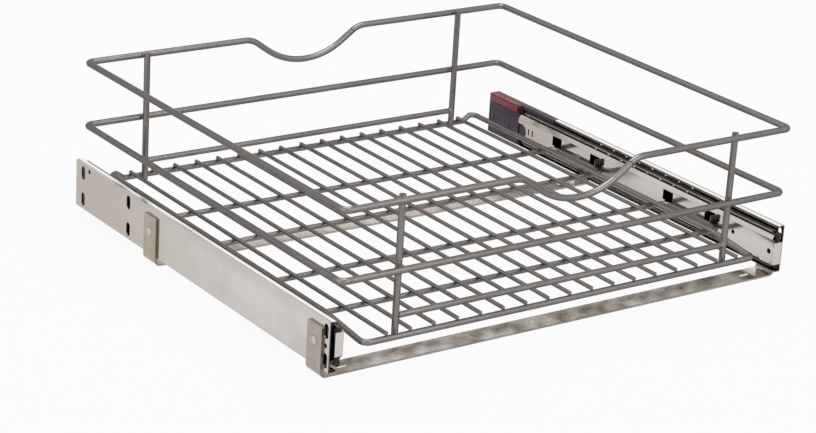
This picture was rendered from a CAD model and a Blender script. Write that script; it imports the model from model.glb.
"""Looks of the pull out cabinet basket: finishes, weld beads, floor, light and camera.

Lengths are written in millimetres, times MM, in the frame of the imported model. Both slides
are one product: the left one is the right one turned over about its long axis, so what lies
high on the right slide lies low on the left one.
"""

import math

import bpy
from mathutils import Matrix, Vector, noise


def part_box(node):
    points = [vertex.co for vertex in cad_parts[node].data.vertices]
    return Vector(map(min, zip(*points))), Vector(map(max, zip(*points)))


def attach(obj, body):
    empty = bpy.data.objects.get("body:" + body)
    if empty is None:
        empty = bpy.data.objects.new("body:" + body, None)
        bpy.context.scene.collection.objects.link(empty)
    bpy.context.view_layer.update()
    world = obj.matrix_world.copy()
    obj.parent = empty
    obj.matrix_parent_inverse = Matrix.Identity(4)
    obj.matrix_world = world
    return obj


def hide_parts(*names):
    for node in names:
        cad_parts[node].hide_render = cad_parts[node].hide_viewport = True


MM = 0.001
X, Y, Z = Vector((1, 0, 0)), Vector((0, 1, 0)), Vector((0, 0, 1))
WHITE = (1, 1, 1, 1)

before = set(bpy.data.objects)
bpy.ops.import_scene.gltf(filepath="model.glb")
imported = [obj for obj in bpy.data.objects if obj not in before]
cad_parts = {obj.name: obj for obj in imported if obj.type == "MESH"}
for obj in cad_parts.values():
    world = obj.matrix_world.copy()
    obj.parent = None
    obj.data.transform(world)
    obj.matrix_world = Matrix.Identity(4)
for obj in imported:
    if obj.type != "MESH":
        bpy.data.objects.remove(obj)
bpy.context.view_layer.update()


# ---------------------------------------------------------------- measures

SLIDE_MIDDLE = 30.85 * MM       # height of the slides' long axes

# Distances from the middle plane between the slides.
HOUSING_X = 238 * MM                # the housings and their strips lie further out
TABS_X = 238.2 * MM                 # the drawer members' tabs lie further in
WEB_X = 238.45 * MM                 # the cross wires end here, at the drawer members' webs
STRIP_X = 242.75 * MM               # the strips in the housings lie further in
GREASED_X = 248.9 * MM              # only the intermediate members' outer face is further out
BEND_X = 249.1 * MM, 250.35 * MM    # where the cabinet members' flanges bend to the web
EAR_X = 249.5 * MM, 250.5 * MM      # where the straps' ears begin
CHANNEL_X = 250.3 * MM              # the hollows of the cabinet members lie further in

# Distances above or below the slides' middle.
BEND_H = 21.9 * MM                  # the same bends lie further from the middle
FLANGE_H = 22.4 * MM, 22.8 * MM     # the flanges' outer faces brighten between these
CHANNEL_H = 22.6 * MM               # the hollows lie nearer to the middle
HOUSING_H = 22.75 * MM              # the housings' upper faces lie further from it

# Places from the left (negative) to the right, and from the front (negative) to the rear.
BRIGHT_X = 100 * MM, 190 * MM       # both straps brighten between these
REAR_BRIGHT_X = -190 * MM, -130 * MM    # the rear strap brightens once more
FRONT_TABS_Y = -220 * MM            # the front tabs lie before this
WEB_WELDS_Y = -115 * MM, 66 * MM    # the welds on the webs begin here
WARM_Y = -120 * MM, 200 * MM        # the zinc turns warmer between these
REAR_STRAP_Y = 0 * MM, 20 * MM      # only the rear strap lies behind this
RIVETS_Y = -199.25 * MM, 76.75 * MM
STRIP_Y = 175.25 * MM               # the upper faces of the housings are red behind this

# Radii of the wires and sizes of the welds.
RIM_R, POST_R, LOW_R = 3 * MM, 3 * MM, 2.75 * MM
BASE_R, CROSS_R, FLOOR_R = 2.75 * MM, 2.5 * MM, 1.9 * MM
LOOP_BEND_R = 8 * MM
FLOOR_WELD, BASE_WELD, POST_WELD = 1.9 * MM, 2.5 * MM, 2.9 * MM
RAIL_WELD, WEB_WELD, WEB_WELD_LENGTH = 0.8 * MM, 0.9 * MM, 15 * MM
RIVET_RIM_R = 3.3 * MM, 4.4 * MM    # the rivets' heads darken between these
EDGE_WEAR = 0.8 * MM                # width of the dull edges of steel


# ---------------------------------------------------------------- node helpers

class Nodes:
    """The node tree of a material or a world, with short calls for what is used here."""

    def __init__(self, owner):
        owner.use_nodes = True
        self.tree = owner.node_tree
        self.tree.nodes.clear()

    def node(self, kind, inputs=None, **settings):
        """Adds a node. An input is a plain value or another node's output."""
        made = self.tree.nodes.new(kind)
        for key, value in settings.items():
            setattr(made, key, value)
        for key, value in (inputs or {}).items():
            if isinstance(value, bpy.types.NodeSocket):
                self.tree.links.new(value, made.inputs[key])
            else:
                made.inputs[key].default_value = value
        return made

    def math(self, operation, a, b=0):
        return self.node("ShaderNodeMath", {0: a, 1: b}, operation=operation).outputs[0]

    def seen(self):
        """1 for the camera, for reflections and for light passing through, else 0."""
        path = self.node("ShaderNodeLightPath").outputs
        seen = self.math("MAXIMUM", path["Is Camera Ray"], path["Is Glossy Ray"])
        return self.math("MAXIMUM", seen, path["Is Transmission Ray"])


class Shader(Nodes):
    """The material of one finish. Masks are 1 where they hold and 0 elsewhere."""

    def __init__(self, name):
        self.material = bpy.data.materials.new(name)
        super().__init__(self.material)
        self.coords = self.node("ShaderNodeTexCoord").outputs["Object"]

    def noise(self, scale, detail, roughness=0.5, vector=None):
        return self.node("ShaderNodeTexNoise", {
            "Vector": vector or self.coords, "Scale": scale,
            "Detail": detail, "Roughness": roughness,
        }).outputs[0]

    def streaks(self, scales, detail, roughness=0.5):
        """Noise with its own scale along each axis."""
        scaled = {0: self.coords, 1: scales}
        vector = self.node("ShaderNodeVectorMath", scaled, operation="MULTIPLY").outputs[0]
        return self.noise(1.0, detail, roughness, vector)

    def cells(self, scale):
        """A random tone for each small cell."""
        cells = {"Vector": self.coords, "Scale": scale}
        return self.node("ShaderNodeTexVoronoi", cells).outputs["Color"]

    def remap(self, value, low, high, to_low=0, to_high=1):
        """Takes the range from low to high smoothly to another one, and clamps it."""
        return self.node("ShaderNodeMapRange", {
            "Value": value, "From Min": low, "From Max": high,
            "To Min": to_low, "To Max": to_high,
        }, interpolation_type="SMOOTHSTEP").outputs[0]

    def mix(self, factor, a, b):
        return self.node("ShaderNodeMix", {0: factor, 6: a, 7: b}, data_type="RGBA").outputs[2]

    def tint(self, color, mask, share, other):
        """A colour that takes this share of another one where a mask is 1."""
        return self.mix(self.math("MULTIPLY", mask, share), color, other)

    def bump(self, height, distance, normal=None):
        inputs = {"Height": height, "Distance": distance, "Strength": 1.0}
        if normal is not None:
            inputs["Normal"] = normal
        return self.node("ShaderNodeBump", inputs).outputs[0]

    def rounded(self, radius):
        """A normal that looks as if sharp edges had this radius."""
        return self.node("ShaderNodeBevel", {"Radius": radius}, samples=6).outputs[0]

    def true_normal(self):
        return self.node("ShaderNodeNewGeometry").outputs["True Normal"]

    def along(self, vector, axis):
        """One coordinate of a vector."""
        return self.node("ShaderNodeSeparateXYZ", {"Vector": vector}).outputs[axis]

    def place(self, axis):
        """One object coordinate, in metres."""
        return self.along(self.coords, axis)

    def outer(self):
        """Distance from the middle plane between the two slides."""
        return self.math("ABSOLUTE", self.place("X"))

    def rise(self):
        """Height above the middle of the slides, negative below it."""
        return self.math("SUBTRACT", self.place("Z"), SLIDE_MIDDLE)

    def height(self):
        """Distance above or below the middle of the slides."""
        return self.math("ABSOLUTE", self.rise())

    def above(self, value, limit):
        return self.math("GREATER_THAN", value, limit)

    def below(self, value, limit):
        return self.math("LESS_THAN", value, limit)

    def both(self, mask, other):
        return self.math("MULTIPLY", mask, other)

    def within(self, value, low, high):
        return self.both(self.above(value, low), self.below(value, high))

    def edges(self, radius):
        """A mask of sharp edges that reaches about this far from them."""
        flat, sharp = 0.995, 0.90
        normals = {0: self.rounded(radius), 1: self.true_normal()}
        same = self.node("ShaderNodeVectorMath", normals, operation="DOT_PRODUCT")
        return self.remap(same.outputs["Value"], flat, sharp)

    def ends(self):
        """A mask of faces that look to the front or the rear."""
        facing = self.along(self.true_normal(), "Y")
        return self.above(self.math("ABSOLUTE", facing), 0.9)

    def surface(self, **inputs):
        """Ends the tree in one Principled shader; names use _ for a space."""
        values = {key.replace("_", " "): value for key, value in inputs.items()}
        shader = self.node("ShaderNodeBsdfPrincipled", values)
        self.node("ShaderNodeOutputMaterial", {"Surface": shader.outputs[0]})
        return self.material


def linear(r, g, b):
    """An sRGB colour, 0 to 255, as the linear colour that a shader takes."""
    values = []
    for c in (r, g, b):
        c /= 255
        values.append(c / 12.92 if c <= 0.04045 else ((c + 0.055) / 1.055) ** 2.4)
    return (*values, 1.0)


# ---------------------------------------------------------------- finishes

def painted_wire():
    """Warm grey metallic powder coat on drawn wire, darker where it turns away."""
    s = Shader("painted_wire")
    tone = s.remap(s.noise(14, 3), 0.35, 0.65)
    color = s.mix(tone, linear(124, 117, 114), linear(136, 129, 126))
    flake = s.remap(s.cells(2600), 0.15, 0.95)
    color = s.tint(color, flake, 0.2, linear(168, 160, 155))
    dust = s.remap(s.noise(240, 4, 0.6), 0.5, 0.72, 0, 0.2)
    color = s.mix(dust, color, linear(70, 63, 60))
    facing = s.node("ShaderNodeLayerWeight", {"Blend": 0.5}).outputs["Facing"]
    color = s.mix(s.remap(facing, 0.12, 0.72, 0, 0.85), color, linear(34, 30, 28))
    roughness = s.remap(s.noise(420, 3), 0.3, 0.7, 0.20, 0.32)
    peel = s.bump(s.noise(520, 2, 0.4), 0.05 * MM)
    normal = s.bump(s.noise(2400, 2), 0.010 * MM, peel)
    return s.surface(
        Base_Color=color, Metallic=0.55, Roughness=roughness, Normal=normal,
        Specular_Tint=(0.4, 0.38, 0.37, 1), Coat_Weight=0.4, Coat_Roughness=0.05, IOR=1.5,
    )


def zinc_steel(name, greased=False, channel=False, tabs=False):
    """Bright zinc on smooth steel strip that was rolled along Y, warmer to the rear.

    greased darkens an intermediate member, its outer face least. channel darkens the hollow
    of a cabinet member and the bend of its flanges, and brightens the flanges' outer faces.
    tabs darkens the tabs that stand in from a drawer member.
    """
    s = Shader(name)
    streaks = s.streaks((900, 5, 900), 4, 0.6)
    broad = s.streaks((30, 3, 30), 2)
    blotch = s.remap(s.noise(34, 4, 0.62), 0.45, 0.72)
    color = s.mix(s.remap(broad, 0.3, 0.7), linear(196, 190, 185), linear(208, 203, 199))
    warm = s.remap(s.place("Y"), *WARM_Y, 0, 0.85)
    color = s.mix(warm, color, linear(180, 169, 160))
    color = s.tint(color, blotch, 0.16, linear(172, 160, 150))
    color = s.mix(s.remap(streaks, 0.4, 0.7, 0, 0.08), color, linear(226, 223, 220))
    uneven = s.remap(s.noise(90, 3), 0.35, 0.65)
    grease = s.mix(uneven, linear(84, 79, 72), linear(116, 110, 102))
    if tabs:
        color = s.mix(s.below(s.outer(), TABS_X), color, grease)
    if greased:
        inside = s.below(s.outer(), GREASED_X)
        color = s.mix(s.remap(inside, 0, 1, 0.25, 0.8), color, grease)
    if channel:
        inside = s.both(s.below(s.outer(), CHANNEL_X), s.below(s.height(), CHANNEL_H))
        color = s.mix(inside, color, grease)
        flange = s.remap(s.height(), *FLANGE_H, 0, 0.8)
        color = s.mix(flange, color, linear(248, 247, 244))
        bend = s.both(s.within(s.outer(), *BEND_X), s.above(s.height(), BEND_H))
        color = s.tint(color, bend, 0.8, linear(76, 67, 60))
    color = s.tint(color, s.edges(EDGE_WEAR), 0.75, linear(84, 78, 72))
    cut = s.both(s.ends(), s.above(s.place("Y"), FRONT_TABS_Y))
    color = s.tint(color, cut, 0.85, linear(72, 64, 58))
    roughness = s.remap(streaks, 0.25, 0.75, 0.11, 0.17)
    roughness = s.math("ADD", roughness, s.math("MULTIPLY", blotch, 0.05))
    normal = s.bump(streaks, 0.0012 * MM, s.rounded(0.28 * MM))
    return s.surface(Base_Color=color, Metallic=1.0, Roughness=roughness, Normal=normal)


def retainer_steel():
    """Thin plain strip with an oil film."""
    s = Shader("retainer_steel")
    streaks = s.streaks((1000, 14, 1000), 3, 0.6)
    film = s.remap(s.noise(70, 3), 0.4, 0.65, 0, 0.5)
    color = s.mix(film, linear(108, 102, 95), linear(66, 60, 52))
    roughness = s.remap(streaks, 0.25, 0.75, 0.26, 0.42)
    normal = s.bump(streaks, 0.008 * MM, s.rounded(0.15 * MM))
    return s.surface(Base_Color=color, Metallic=1.0, Roughness=roughness, Normal=normal)


def ball_steel():
    """Polished steel balls with a trace of grease."""
    s = Shader("ball_steel")
    grease = s.remap(s.noise(600, 3), 0.45, 0.7)
    color = s.tint(linear(226, 226, 228), grease, 0.5, linear(190, 180, 160))
    roughness = s.remap(grease, 0, 1, 0.07, 0.22)
    return s.surface(Base_Color=color, Metallic=1.0, Roughness=roughness)


def strap_steel():
    """Nickel plated strap: uneven satin with warm stains, brown ears and dull cut edges.

    The straps brighten to the right, and the rear one is brighter but for its left end.
    """
    s = Shader("strap_steel")
    streaks = s.streaks((8, 1500, 1500), 4, 0.6)
    clouds = s.noise(30, 4, 0.6)
    color = s.mix(s.remap(clouds, 0.4, 0.62), linear(176, 164, 150), linear(214, 210, 205))
    stains = s.remap(s.noise(11, 2), 0.48, 0.66, 0, 0.75)
    color = s.mix(stains, color, linear(160, 148, 128))
    bright = s.remap(s.place("X"), *BRIGHT_X, 0, 0.8)
    color = s.mix(bright, color, linear(224, 220, 212))
    rear = s.both(
        s.remap(s.place("Y"), *REAR_STRAP_Y, 0, 0.85), s.remap(s.place("X"), *REAR_BRIGHT_X),
    )
    color = s.mix(rear, color, linear(234, 224, 216))
    uneven = s.remap(s.noise(120, 3), 0.3, 0.7)
    brown = s.mix(uneven, linear(164, 152, 140), linear(176, 165, 153))
    color = s.mix(s.remap(s.outer(), *EAR_X), color, brown)
    color = s.tint(color, s.ends(), 0.6, linear(108, 106, 94))
    color = s.tint(color, s.edges(EDGE_WEAR), 0.75, linear(84, 78, 68))
    roughness = s.remap(clouds, 0.3, 0.7, 0.16, 0.26)
    normal = s.bump(streaks, 0.005 * MM, s.rounded(0.35 * MM))
    return s.surface(Base_Color=color, Metallic=1.0, Roughness=roughness, Normal=normal)


def rivet_steel():
    """Bright rivet heads, with a dark rim where they meet the ears."""
    s = Shader("rivet_steel")
    beside = [s.math("ABSOLUTE", s.math("SUBTRACT", s.place("Y"), y)) for y in RIVETS_Y]
    y, z = s.math("MINIMUM", *beside), s.rise()
    squares = s.math("ADD", s.math("MULTIPLY", y, y), s.math("MULTIPLY", z, z))
    rim = s.remap(s.math("SQRT", squares), *RIVET_RIM_R, 0, 0.85)
    scuffs = s.remap(s.noise(500, 4), 0.4, 0.7, 0, 0.4)
    color = s.mix(scuffs, linear(206, 197, 184), linear(170, 160, 146))
    color = s.mix(rim, color, linear(84, 76, 66))
    roughness = s.remap(scuffs, 0, 0.4, 0.16, 0.28)
    normal = s.bump(s.noise(900, 2), 0.01 * MM)
    return s.surface(Base_Color=color, Metallic=0.7, Roughness=roughness, Normal=normal)


def plastic(name, dark, light, gloss, cap=None):
    """Moulded plastic with a fine spark eroded texture and soft flow marks.

    cap is for a housing: the colour of the strip's edge in its upper face. That face is
    nearly black, and dark red beside the strip.
    """
    s = Shader(name)
    flow = s.streaks((60, 14, 60), 3, 0.55)
    color = s.mix(s.remap(flow, 0.35, 0.7), dark, light)
    if cap:
        turned = s.math("MULTIPLY", s.rise(), s.place("X"))
        upper = s.above(turned, HOUSING_H * HOUSING_X)
        rear = s.both(upper, s.above(s.place("Y"), STRIP_Y))
        strip = s.both(rear, s.within(s.outer(), HOUSING_X, STRIP_X))
        for mask, tone in (
            (upper, linear(16, 10, 18)), (rear, linear(88, 34, 38)), (strip, cap),
        ):
            color = s.mix(mask, color, tone)
    roughness = s.remap(s.noise(160, 3), 0.3, 0.7, gloss, gloss + 0.12)
    normal = s.bump(s.noise(3200, 2), 0.02 * MM, s.rounded(0.4 * MM))
    return s.surface(Base_Color=color, Roughness=roughness, Normal=normal, IOR=1.5)


FINISHES = {
    "painted_wire": painted_wire(),
    "zinc_steel": zinc_steel("zinc_steel", tabs=True),
    "channel_zinc": zinc_steel("channel_zinc", channel=True),
    "greased_zinc": zinc_steel("greased_zinc", greased=True),
    "retainer_steel": retainer_steel(),
    "ball_steel": ball_steel(),
    "strap_steel": strap_steel(),
    "rivet_steel": rivet_steel(),
    "dark_plastic": plastic("dark_plastic", linear(48, 34, 46), linear(64, 48, 62), 0.42),
    "housing_plastic": plastic(
        "housing_plastic", linear(50, 36, 50), linear(68, 51, 68), 0.40, cap=linear(146, 48, 54),
    ),
    "black_rubber": plastic("black_rubber", linear(13, 10, 10), linear(22, 18, 18), 0.60),
    "red_plastic": plastic("red_plastic", linear(146, 46, 52), linear(168, 62, 66), 0.26),
}

# The first of these words that a node's name holds decides its finish.
NODE_FINISHES = (
    ("ball_retainer", "retainer_steel"),
    ("balls", "ball_steel"),
    ("cabinet_member", "channel_zinc"),
    ("intermediate_member", "greased_zinc"),
    ("member", "zinc_steel"),
    ("strip", "red_plastic"),
    ("housing", "housing_plastic"),
    ("catch", "dark_plastic"),
    ("buffer", "black_rubber"),
    ("rivets", "rivet_steel"),
    ("strap", "strap_steel"),
    ("", "painted_wire"),
)

for name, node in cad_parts.items():
    finish = next(slot for word, slot in NODE_FINISHES if word in name)
    node.data.materials.clear()
    node.data.materials.append(FINISHES[finish])


# ---------------------------------------------------------------- mesh helpers

def add_piece(name, verts, faces, body, slot):
    """Makes one smooth mesh object with a finish, riding on a body."""
    mesh = bpy.data.meshes.new(name)
    mesh.from_pydata(verts, [], faces)
    mesh.update()
    mesh.shade_smooth()
    piece = bpy.data.objects.new(name, mesh)
    bpy.context.scene.collection.objects.link(piece)
    mesh.materials.append(FINISHES[slot])
    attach(piece, body)
    return piece


def directions(first, second, count):
    """Unit vectors in equal steps of one turn, from the first axis to the second."""
    for i in range(count):
        angle = 2 * math.pi * i / count
        yield math.cos(angle) * first + math.sin(angle) * second


def grid_faces(rows, columns, rows_close=False, columns_close=False):
    """Faces of a grid of vertices, whose last row or column may join the first."""
    faces = []
    for i in range(rows if rows_close else rows - 1):
        for k in range(columns if columns_close else columns - 1):
            j, m = (i + 1) % rows, (k + 1) % columns
            faces.append((
                i * columns + k, j * columns + k, j * columns + m, i * columns + m,
            ))
    return faces


def join(parts):
    """Several lists of vertices and faces as one."""
    verts, faces = [], []
    for part_verts, part_faces in parts:
        start = len(verts)
        verts += part_verts
        faces += [tuple(start + i for i in face) for face in part_faces]
    return verts, faces


def middle(node):
    """The middle of a node's box."""
    low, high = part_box(node)
    return (low + high) / 2


# ---------------------------------------------------------------- weld beads

BEAD_STEPS, BEAD_LEVELS = 20, 5     # vertices round a bead, and from its foot to its top
LUMPS = 900                         # scale of the noise that makes a bead uneven
MAX_CLIMB = 0.93                    # share of a wire's radius that a bead climbs at most
WAIST, WAIST_PULL = 0.62, 0.9       # how narrow a bead's middle is, and how much it is drawn in
CUT_BACK = 0.75                     # how much a bead shrinks towards a wire's cut end
COLLAR_SINK = 0.04 * MM             # a collar starts this far inside of the wire's surface
STEEP_SIDE = 0.96                   # share of a post's radius beside which it is too steep
LINE_STEPS, LINE_LUMPS = 14, 700    # steps and noise scale of a weld along a wire
LINE_GRIP, LINE_SWELL = 1.05, 0.18  # angle that it climbs up the wire, and how far it swells


def surface_height(r, offset):
    """How far a round wire's surface has dropped at this distance beside its crest."""
    return r - math.sqrt(max(r * r - offset * offset, 0))


def crossing_bead(contact, along_a, r_a, along_b, r_b, normal, size, end=None):
    """Fused metal in the corner between two crossing wires that touch at a point.

    normal points from wire a to wire b, and end points to wire b's end where it is cut off
    at the contact. Gives the vertices and faces of one ring.
    """
    across_a = normal.cross(along_a)
    across_b = normal.cross(along_b)
    verts = []
    for direction in directions(along_a, across_a, BEAD_STEPS):
        lean_a, lean_b = direction.dot(across_a), direction.dot(across_b)
        reach = size * (1 + 0.16 * noise.noise(contact * LUMPS + direction * 1.7))
        if end is not None:
            reach *= 1 - CUT_BACK * max(direction.dot(end), 0)
        foot_a = min(reach, MAX_CLIMB * r_a / max(abs(lean_a), 0.01))
        foot_b = min(reach, MAX_CLIMB * r_b / max(abs(lean_b), 0.01))
        low = foot_a, -surface_height(r_a, foot_a * lean_a)
        high = foot_b, surface_height(r_b, foot_b * lean_b)
        waist = WAIST * min(foot_a, foot_b)
        for k in range(BEAD_LEVELS):
            t = k / (BEAD_LEVELS - 1)
            bulge = math.sin(math.pi * t)
            out = (1 - t) * low[0] + t * high[0]
            out += (waist - 0.5 * (low[0] + high[0])) * bulge * WAIST_PULL
            up = (1 - t) * low[1] + t * high[1]
            verts.append(contact + direction * out + normal * up)
    return verts, grid_faces(BEAD_STEPS, BEAD_LEVELS, rows_close=True)


def butt_bead(center, along, r, drop, size):
    """A collar of weld round a wire's end where it meets a surface.

    center is on the wire's axis where it meets the surface, along points up the wire, and
    drop(direction, out) says how far the surface has fallen this far out of center.
    """
    side = along.orthogonal().normalized()
    verts = []
    for direction in directions(side, along.cross(side), BEAD_STEPS):
        reach = size * (1 + 0.22 * noise.noise(center * LUMPS + direction * 1.3))
        for k in range(BEAD_LEVELS):
            t = k / (BEAD_LEVELS - 1)
            out = r - COLLAR_SINK + reach * (1 - math.sin(0.5 * math.pi * t))
            up = reach * (1 - math.cos(0.5 * math.pi * t))
            up -= drop(direction, out) * (1 - t)
            verts.append(center + direction * out + along * up)
    return verts, grid_faces(BEAD_STEPS, BEAD_LEVELS, rows_close=True)


def line_bead(start, along, length, across, up, r, size):
    """Weld on one side of a round wire that lies on a flat face, thin at both ends.

    start is on the line of contact, and across points to the side that is welded.
    """
    verts = []
    for i in range(LINE_STEPS + 1):
        t = i / LINE_STEPS
        here = start + along * (length * t)
        full = math.sqrt(max(math.sin(math.pi * t), 0.02))
        full *= 1 + 0.25 * noise.noise(here * LINE_LUMPS + across * 3)
        grip = LINE_GRIP * full
        wire = r * math.sin(grip), r * (1 - math.cos(grip))
        foot = wire[0] + size * full, 0.0
        for k in range(BEAD_LEVELS):
            w = k / (BEAD_LEVELS - 1)
            swell = LINE_SWELL * size * full * math.sin(math.pi * w)
            side = (1 - w) * wire[0] + w * foot[0] + swell
            rise = (1 - w) * wire[1] + w * foot[1] + swell
            verts.append(here + across * side + up * rise)
    return verts, grid_faces(LINE_STEPS + 1, BEAD_LEVELS)


FLOOR_WIRES = sorted(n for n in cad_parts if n.startswith("floor_wire"))
CROSS_WIRES = sorted(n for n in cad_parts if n.startswith("cross_wire"))
POSTS = [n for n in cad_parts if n.endswith("_post")]

cross_z = middle(CROSS_WIRES[0]).z
base_low, base_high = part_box("base_loop")
base_run_z = base_low.z + BASE_R


def floor_welds():
    """Floor wires on the cross wires."""
    parts = []
    for floor in FLOOR_WIRES:
        for cross in CROSS_WIRES:
            contact = Vector((middle(floor).x, middle(cross).y, cross_z + CROSS_R))
            parts.append(crossing_bead(contact, X, CROSS_R, Y, FLOOR_R, Z, FLOOR_WELD))
    return join(parts)


def base_welds():
    """Base loop: its sides on the cross wires, and the floor wires on its front and rear."""
    parts = []
    side_x = base_high.x - BASE_R
    for cross in CROSS_WIRES:
        for x in (-side_x, side_x):
            contact = Vector((x, middle(cross).y, cross_z + CROSS_R))
            parts.append(crossing_bead(contact, X, CROSS_R, Y, BASE_R, Z, BASE_WELD))
    for floor in FLOOR_WIRES:
        for out in (-Y, Y):
            contact = Vector((middle(floor).x, 0, base_run_z + BASE_R))
            contact += out * (base_high.y - BASE_R)
            parts.append(crossing_bead(contact, X, BASE_R, Y, FLOOR_R, Z, FLOOR_WELD, end=out))
    return join(parts)


def post_welds():
    """Posts behind the rim, the middle rail and the base loop, and the ends of the low rails."""
    parts = []
    rails = (
        (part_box("top_rim")[1].z - RIM_R, RIM_R),
        (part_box("mid_rail")[1].z - RIM_R, RIM_R),
        (base_run_z, BASE_R),
    )
    for post in POSTS:
        here = middle(post)
        out = Y if here.y > 0 else -Y
        for z, r in rails:
            contact = Vector((here.x, here.y, z)) + out * POST_R
            parts.append(crossing_bead(contact, Z, POST_R, X, r, out, POST_WELD))

    def drop(direction, out):
        return surface_height(POST_R, min(abs(direction.y) * out, STEEP_SIDE * POST_R))

    post_x = abs(middle(POSTS[0]).x)
    for rail in ("front_low_rail", "rear_low_rail"):
        here = middle(rail)
        for x, inward in ((-post_x, X), (post_x, -X)):
            foot = Vector((x, here.y, here.z)) + inward * POST_R
            parts.append(butt_bead(foot, inward, LOW_R, drop, RAIL_WELD))
    return join(parts)


def slide_welds():
    """The sides of the cross wire loops on the webs of the drawer members."""
    parts = []
    for y in WEB_WELDS_Y:
        for out in (-X, X):
            start = Vector((0, y, cross_z)) + out * WEB_X
            for across in (-Z, Z):
                parts.append(
                    line_bead(start, Y, WEB_WELD_LENGTH, across, -out, CROSS_R, WEB_WELD)
                )
    return join(parts)


# ---------------------------------------------------------------- cross wire loops

def wire_ring(half_w, y0, y1, z, bend, r):
    """A closed wire loop: two straight runs across, joined at both slides by round bends."""
    steps, sides = 12, 28
    path = []
    for cx, cy, start in (
        (half_w - bend, y1 - bend, 0), (bend - half_w, y1 - bend, 90),
        (bend - half_w, y0 + bend, 180), (half_w - bend, y0 + bend, 270),
    ):
        for k in range(steps + 1):
            angle = math.radians(start + 90 * k / steps)
            out = Vector((math.cos(angle), math.sin(angle), 0))
            path.append((Vector((cx, cy, z)) + out * bend, out))
    verts = [here + spoke * r for here, out in path for spoke in directions(out, Z, sides)]
    return verts, grid_faces(len(path), sides, rows_close=True, columns_close=True)


for loop_name, first, last in (
    ("front_cross_loop", "cross_wire_1", "cross_wire_2"),
    ("rear_cross_loop", "cross_wire_3", "cross_wire_4"),
):
    half_w, y0, y1 = WEB_X - CROSS_R, middle(first).y, middle(last).y
    loop = add_piece(
        loop_name, *wire_ring(half_w, y0, y1, cross_z, LOOP_BEND_R, CROSS_R),
        "basket", "painted_wire",
    )
    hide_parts(first, last)

for bead_name, made in (
    ("floor_weld_beads", floor_welds()), ("base_weld_beads", base_welds()),
    ("post_weld_beads", post_welds()), ("slide_weld_beads", slide_welds()),
):
    add_piece(bead_name, *made, "basket", "painted_wire")


# ---------------------------------------------------------------- soft close details

RIDGE_H = 0.45 * MM
RIDGE_END, RIDGE_TAPER = 0.25, 6    # share of the height at a ridge's ends, and its rise
RIDGE_CREST = 0.6                   # below 1, the crest is broader than a half circle's
RIM_RING = 1.1 * MM, 0.22 * MM      # width and height of the rim on a catch's nose
HUB_RING = 0.9 * MM, 0.18 * MM      # and of the hub in its middle
RIM_INSET, HUB_SHARE = 0.8 * MM, 0.42   # the rim's distance from the edge, the hub's radius

# Start, end and width of the ridges on the right housing, in millimetres, as the place
# along Y and the height above the slide's middle.
RIDGES = (
    ((174.5, 13.6), (220.8, 13.6), 1.0),
    ((220.6, 12.6), (220.6, -18.4), 1.0),
    ((174.0, -18.6), (220.8, -18.6), 1.0),
    ((186.0, 7.0), (214.0, 7.0), 0.8),
    ((186.0, -11.5), (214.0, -11.5), 0.8),
    ((186.0, 7.0), (186.0, -11.5), 0.8),
    ((214.0, 7.0), (214.0, -11.5), 0.8),
)


def ridge(start, end, up, w, h):
    """A low moulded ridge from start to end, with a rounded crest and tapered ends."""
    along = (end - start).normalized()
    across = along.cross(up).normalized()
    length = (end - start).length
    profile, steps = 7, 10
    verts = []
    for i in range(steps + 1):
        t = i / steps
        tall = min(1.0, RIDGE_TAPER * min(t, 1 - t) + RIDGE_END)
        for k in range(profile):
            a = math.pi * k / (profile - 1)
            side = -math.cos(a) * w / 2
            rise = (math.sin(a) ** RIDGE_CREST) * h * tall
            verts.append(start + along * (length * t) + across * side + up * rise)
    faces = grid_faces(steps + 1, profile)
    faces.append(tuple(range(profile)))
    faces.append(tuple(range(steps * profile + profile - 1, steps * profile - 1, -1)))
    return verts, faces


def ring(center, up, radius, w, h):
    """A low round ridge about an axis, with a rounded crest."""
    side = up.orthogonal().normalized()
    turns, profile = 36, 6
    verts = []
    for out in directions(side, up.cross(side), turns):
        for k in range(profile):
            a = math.pi * k / (profile - 1)
            verts.append(center + out * (radius - math.cos(a) * w / 2) + up * (math.sin(a) * h))
    return verts, grid_faces(turns, profile, rows_close=True)


def inner_face(turn, low, high):
    """The x of the face of a box that looks at the basket, and the way that it looks."""
    return low.x if turn > 0 else high.x, Vector((-turn, 0, 0))


def housing_ridges(side, turn):
    """Ridges on the inner face of one housing, drawn for its own side of the part."""
    low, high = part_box(side + "_soft_close_housing")
    inner, inward = inner_face(turn, low, high)

    def point(y, v):
        return Vector((inner, y * MM, SLIDE_MIDDLE + turn * v * MM))

    return join([
        ridge(point(*start), point(*end), inward, w * MM, RIDGE_H) for start, end, w in RIDGES
    ])


def catch_rings(side, turn):
    """A rim and a hub on the inner face of one catch's nose."""
    low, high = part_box(side + "_soft_close_catch")
    inner, inward = inner_face(turn, low, high)
    radius = (high.z - low.z) / 2
    center = Vector((inner, low.y + radius, (low.z + high.z) / 2))
    return join([
        ring(center, inward, radius - RIM_INSET, *RIM_RING),
        ring(center, inward, radius * HUB_SHARE, *HUB_RING),
    ])


for side, turn in (("left", -1), ("right", 1)):
    ridges, rings = housing_ridges(side, turn), catch_rings(side, turn)
    add_piece(side + "_housing_ridges", *ridges, "cabinet_frame", "dark_plastic")
    add_piece(side + "_catch_rings", *rings, side + "_catch", "dark_plastic")


# ---------------------------------------------------------------- floor, light and camera

FLOOR_HALF = 30.0                   # in metres, far past the picture's edges
FLOOR_GREY = (0.66, 0.66, 0.66, 1)
FLOOR_WHITE_SHARE = 0.93            # how much of the floor that is seen is plain white
WORLD_LIGHT, WORLD_SEEN = 0.5, 1.0  # strength as light, and where it is seen
LAMP_AIM = Vector((0, 0, 0.08))

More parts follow.
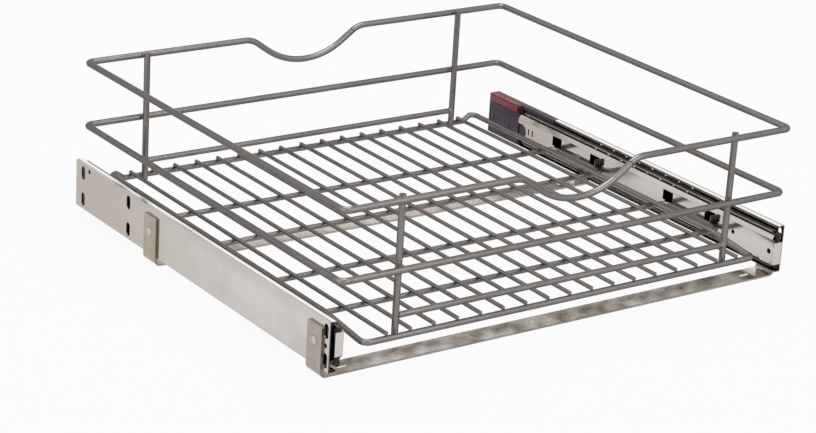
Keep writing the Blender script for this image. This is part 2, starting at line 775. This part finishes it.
CAMERA_PLACE = Vector((-1303.728, -1764.875, 851.057)) * MM
CAMERA_YAW, CAMERA_PITCH, CAMERA_ROLL = 36.0214, 20.5568, 3.5475
CAMERA_LENS, CAMERA_SENSOR = 109.90, 36     # in millimetres
CAMERA_CLIP = 0.05, 100


def add_floor():
    """A grey floor that the camera and reflections see as almost white."""
    material = bpy.data.materials.new("studio_floor")
    s = Nodes(material)
    diffuse = s.node("ShaderNodeBsdfDiffuse", {"Color": FLOOR_GREY})
    white = s.node("ShaderNodeEmission", {"Color": WHITE, "Strength": 1.0})
    mixed = s.node("ShaderNodeMixShader", {
        0: s.math("MULTIPLY", s.seen(), FLOOR_WHITE_SHARE),
        1: diffuse.outputs[0], 2: white.outputs[0],
    })
    s.node("ShaderNodeOutputMaterial", {"Surface": mixed.outputs[0]})
    mesh = bpy.data.meshes.new("studio_floor")
    half = FLOOR_HALF
    mesh.from_pydata(
        [(-half, -half, 0), (half, -half, 0), (half, half, 0), (-half, half, 0)],
        [], [(0, 1, 2, 3)],
    )
    mesh.materials.append(material)
    floor = bpy.data.objects.new("studio_floor", mesh)
    bpy.context.scene.collection.objects.link(floor)


def set_world():
    """White surroundings that light the part less than they are seen."""
    world = bpy.data.worlds.new("studio")
    bpy.context.scene.world = world
    s = Nodes(world)
    strength = s.node("ShaderNodeMapRange", {
        "Value": s.seen(), "To Min": WORLD_LIGHT, "To Max": WORLD_SEEN,
    })
    background = s.node("ShaderNodeBackground", {"Color": WHITE, "Strength": strength.outputs[0]})
    s.node("ShaderNodeOutputWorld", {"Surface": background.outputs[0]})


def add_lamp(name, place, size, watts):
    """A soft rectangular lamp that faces the middle of the basket."""
    lamp = bpy.data.lights.new(name, "AREA")
    lamp.shape = "RECTANGLE"
    lamp.size, lamp.size_y = size
    lamp.energy = watts
    obj = bpy.data.objects.new(name, lamp)
    obj.location = place
    obj.rotation_euler = (LAMP_AIM - Vector(place)).to_track_quat("-Z", "Y").to_euler()
    bpy.context.scene.collection.objects.link(obj)


def add_camera():
    """The photograph's view, fitted to points of the picture."""
    yaw, pitch, roll = (math.radians(a) for a in (CAMERA_YAW, CAMERA_PITCH, CAMERA_ROLL))
    forward = Vector((
        math.sin(yaw) * math.cos(pitch), math.cos(yaw) * math.cos(pitch), -math.sin(pitch),
    ))
    level_right = Vector((math.cos(yaw), -math.sin(yaw), 0))
    level_up = level_right.cross(forward)
    right = math.cos(roll) * level_right + math.sin(roll) * level_up
    up = -math.sin(roll) * level_right + math.cos(roll) * level_up
    data = bpy.data.cameras.new("camera")
    data.sensor_fit = "HORIZONTAL"
    data.sensor_width = CAMERA_SENSOR
    data.lens = CAMERA_LENS
    data.clip_start, data.clip_end = CAMERA_CLIP
    camera = bpy.data.objects.new("camera", data)
    matrix = Matrix((right, up, -forward)).transposed().to_4x4()
    matrix.translation = CAMERA_PLACE
    camera.matrix_world = matrix
    bpy.context.scene.collection.objects.link(camera)
    bpy.context.scene.camera = camera


add_floor()
set_world()
add_lamp("top_softbox", (0.2, 0.3, 1.9), (1.0, 0.8), 16)
add_lamp("left_softbox", (-1.7, -0.5, 1.1), (1.2, 1.2), 7)
add_lamp("front_softbox", (0.5, -1.9, 1.2), (1.4, 1.0), 8)
add_camera()
bpy.context.scene.view_settings.view_transform = "Standard"
